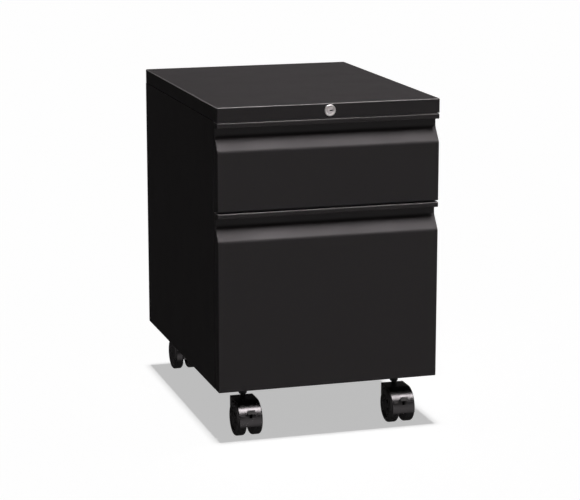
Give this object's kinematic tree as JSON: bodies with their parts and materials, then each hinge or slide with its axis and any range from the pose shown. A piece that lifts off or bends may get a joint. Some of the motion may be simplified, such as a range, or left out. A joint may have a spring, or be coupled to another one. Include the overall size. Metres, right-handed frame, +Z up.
{
  "type": "mobile pedestal filing cabinet",
  "caption": "Low sheet-steel filing cabinet on swivel casters, with a shallow box drawer over a deep file drawer, full-width finger pulls and a lock in the cap.",
  "frame": {"origin": "on the floor under the middle of the cabinet", "axes": "+X to the right seen from the front, +Y from the drawer fronts to the back, +Z up"},
  "size_m": [0.381, 0.5062, 0.559],
  "materials": {
    "case_paint": "black powder coat, satin",
    "cap_paint": "black powder coat, satin",
    "front_paint": "black powder coat, satin",
    "drawer_paint": "black powder coat, satin",
    "inner_steel": "black powder coat, satin",
    "counterweight_steel": "bare plate, oiled",
    "zinc_steel": "zinc plated",
    "bearing_steel": "plated cage with bright balls",
    "nickel": "satin nickel",
    "bumper_rubber": "matte",
    "hood_plastic": "black moulded nylon",
    "brake_plastic": "dark grey moulded nylon",
    "wheel_plastic": "black moulded nylon"
  },
  "bodies": {
    "case": {"left_side_panel": "case_paint", "right_side_panel": "case_paint", "back_panel": "case_paint", "base_pan": "case_paint", "top_cap": "cap_paint", "top_front_rail": "case_paint", "case_uprights": "inner_steel", "counterweight": "counterweight_steel", "caster_sockets": "zinc_steel", "caster_stems": "inner_steel", "box_slide_cabinet_members": "zinc_steel", "file_slide_cabinet_members": "zinc_steel", "slide_rivets": "zinc_steel", "lock_housing": "nickel", "lock_nut": "nickel", "lock_rod_bracket": "inner_steel", "lock_bar_guides": "inner_steel"},
    "box_drawer": {"box_drawer_front": "front_paint", "box_drawer_liner": "front_paint", "box_drawer_tray": "drawer_paint", "box_drawer_back": "drawer_paint", "box_drawer_catch": "zinc_steel", "box_drawer_bumpers": "bumper_rubber", "box_slide_drawer_members": "zinc_steel"},
    "file_drawer": {"file_drawer_front": "front_paint", "file_drawer_liner": "front_paint", "file_drawer_tray": "drawer_paint", "file_drawer_back": "drawer_paint", "file_drawer_catch": "zinc_steel", "file_drawer_bumpers": "bumper_rubber", "file_slide_drawer_members": "zinc_steel", "file_hanging_rails": "zinc_steel"},
    "box_slide_middle": {"box_slide_middle_members": "zinc_steel"},
    "box_slide_outer_cages": {"box_slide_outer_ball_cages": "bearing_steel"},
    "box_slide_inner_cages": {"box_slide_inner_ball_cages": "bearing_steel"},
    "file_slide_middle": {"file_slide_middle_members": "zinc_steel"},
    "file_slide_outer_cages": {"file_slide_outer_ball_cages": "bearing_steel"},
    "file_slide_inner_cages": {"file_slide_inner_ball_cages": "bearing_steel"},
    "lock_barrel": {"lock_plug": "nickel", "lock_rod": "nickel"},
    "lock_bar": {"lock_bar": "zinc_steel"},
    "caster_front_left": {"caster_hood_front_left": "hood_plastic", "caster_axle_front_left": "zinc_steel"},
    "wheel_front_left_a": {"wheel_front_left_a": "wheel_plastic"},
    "wheel_front_left_b": {"wheel_front_left_b": "wheel_plastic"},
    "brake_front_left": {"caster_brake_front_left": "brake_plastic"},
    "caster_front_right": {"caster_hood_front_right": "hood_plastic", "caster_axle_front_right": "zinc_steel"},
    "wheel_front_right_a": {"wheel_front_right_a": "wheel_plastic"},
    "wheel_front_right_b": {"wheel_front_right_b": "wheel_plastic"},
    "brake_front_right": {"caster_brake_front_right": "brake_plastic"},
    "caster_back_left": {"caster_hood_back_left": "hood_plastic", "caster_axle_back_left": "zinc_steel"},
    "wheel_back_left_a": {"wheel_back_left_a": "wheel_plastic"},
    "wheel_back_left_b": {"wheel_back_left_b": "wheel_plastic"},
    "caster_back_right": {"caster_hood_back_right": "hood_plastic", "caster_axle_back_right": "zinc_steel"},
    "wheel_back_right_a": {"wheel_back_right_a": "wheel_plastic"},
    "wheel_back_right_b": {"wheel_back_right_b": "wheel_plastic"}
  },
  "joints": [
    {"name": "box_drawer_slide", "type": "slide", "parent": "case", "child": "box_drawer", "axis": [0, -1, 0], "range_m": [0, 0.43]},
    {"name": "box_slide_middle_travel", "type": "slide", "parent": "case", "child": "box_slide_middle", "axis": [0, -1, 0], "range_m": [0, 0.215]},
    {"name": "box_slide_outer_cages_travel", "type": "slide", "parent": "case", "child": "box_slide_outer_cages", "axis": [0, -1, 0], "range_m": [0, 0.1075]},
    {"name": "box_slide_inner_cages_travel", "type": "slide", "parent": "case", "child": "box_slide_inner_cages", "axis": [0, -1, 0], "range_m": [0, 0.3225]},
    {"name": "file_drawer_slide", "type": "slide", "parent": "case", "child": "file_drawer", "axis": [0, -1, 0], "range_m": [0, 0.43]},
    {"name": "file_slide_middle_travel", "type": "slide", "parent": "case", "child": "file_slide_middle", "axis": [0, -1, 0], "range_m": [0, 0.215]},
    {"name": "file_slide_outer_cages_travel", "type": "slide", "parent": "case", "child": "file_slide_outer_cages", "axis": [0, -1, 0], "range_m": [0, 0.1075]},
    {"name": "file_slide_inner_cages_travel", "type": "slide", "parent": "case", "child": "file_slide_inner_cages", "axis": [0, -1, 0], "range_m": [0, 0.3225]},
    {"name": "lock_turn", "type": "hinge", "parent": "case", "child": "lock_barrel", "pos_m": [0, -0.2525, 0.547], "axis": [0, 1, 0], "range_deg": [0, 90]},
    {"name": "lock_bar_drop", "type": "slide", "parent": "case", "child": "lock_bar", "axis": [0, 0, -1], "range_m": [0, 0.0099]},
    {"name": "caster_swivel_front_left", "type": "hinge", "parent": "case", "child": "caster_front_left", "pos_m": [-0.1345, -0.1975, 0.06], "axis": [0, 0, 1], "continuous": true},
    {"name": "wheel_spin_front_left_a", "type": "hinge", "parent": "caster_front_left", "child": "wheel_front_left_a", "pos_m": [-0.1345, -0.2175, 0.029], "axis": [1, 0, 0], "continuous": true},
    {"name": "wheel_spin_front_left_b", "type": "hinge", "parent": "caster_front_left", "child": "wheel_front_left_b", "pos_m": [-0.1345, -0.2175, 0.029], "axis": [1, 0, 0], "continuous": true},
    {"name": "brake_tip_front_left", "type": "hinge", "parent": "caster_front_left", "child": "brake_front_left", "pos_m": [-0.1345, -0.2375, 0.044], "axis": [1, 0, 0], "range_deg": [0, 15]},
    {"name": "caster_swivel_front_right", "type": "hinge", "parent": "case", "child": "caster_front_right", "pos_m": [0.1345, -0.1975, 0.06], "axis": [0, 0, 1], "continuous": true},
    {"name": "wheel_spin_front_right_a", "type": "hinge", "parent": "caster_front_right", "child": "wheel_front_right_a", "pos_m": [0.1345, -0.2175, 0.029], "axis": [1, 0, 0], "continuous": true},
    {"name": "wheel_spin_front_right_b", "type": "hinge", "parent": "caster_front_right", "child": "wheel_front_right_b", "pos_m": [0.1345, -0.2175, 0.029], "axis": [1, 0, 0], "continuous": true},
    {"name": "brake_tip_front_right", "type": "hinge", "parent": "caster_front_right", "child": "brake_front_right", "pos_m": [0.1345, -0.2375, 0.044], "axis": [1, 0, 0], "range_deg": [0, 15]},
    {"name": "caster_swivel_back_left", "type": "hinge", "parent": "case", "child": "caster_back_left", "pos_m": [-0.1345, 0.1975, 0.06], "axis": [0, 0, 1], "continuous": true},
    {"name": "wheel_spin_back_left_a", "type": "hinge", "parent": "caster_back_left", "child": "wheel_back_left_a", "pos_m": [-0.1345, 0.2175, 0.029], "axis": [1, 0, 0], "continuous": true},
    {"name": "wheel_spin_back_left_b", "type": "hinge", "parent": "caster_back_left", "child": "wheel_back_left_b", "pos_m": [-0.1345, 0.2175, 0.029], "axis": [1, 0, 0], "continuous": true},
    {"name": "caster_swivel_back_right", "type": "hinge", "parent": "case", "child": "caster_back_right", "pos_m": [0.1345, 0.1975, 0.06], "axis": [0, 0, 1], "continuous": true},
    {"name": "wheel_spin_back_right_a", "type": "hinge", "parent": "caster_back_right", "child": "wheel_back_right_a", "pos_m": [0.1345, 0.2175, 0.029], "axis": [1, 0, 0], "continuous": true},
    {"name": "wheel_spin_back_right_b", "type": "hinge", "parent": "caster_back_right", "child": "wheel_back_right_b", "pos_m": [0.1345, 0.2175, 0.029], "axis": [1, 0, 0], "continuous": true}
  ],
  "couplings": [
    {"joint": "box_slide_middle_travel", "follows": "box_drawer_slide", "ratio": 0.5},
    {"joint": "box_slide_outer_cages_travel", "follows": "box_drawer_slide", "ratio": 0.25},
    {"joint": "box_slide_inner_cages_travel", "follows": "box_drawer_slide", "ratio": 0.75},
    {"joint": "file_slide_middle_travel", "follows": "file_drawer_slide", "ratio": 0.5},
    {"joint": "file_slide_outer_cages_travel", "follows": "file_drawer_slide", "ratio": 0.25},
    {"joint": "file_slide_inner_cages_travel", "follows": "file_drawer_slide", "ratio": 0.75},
    {"joint": "lock_turn", "follows": "lock_bar_drop", "rad_per_m": 158.67}
  ]
}
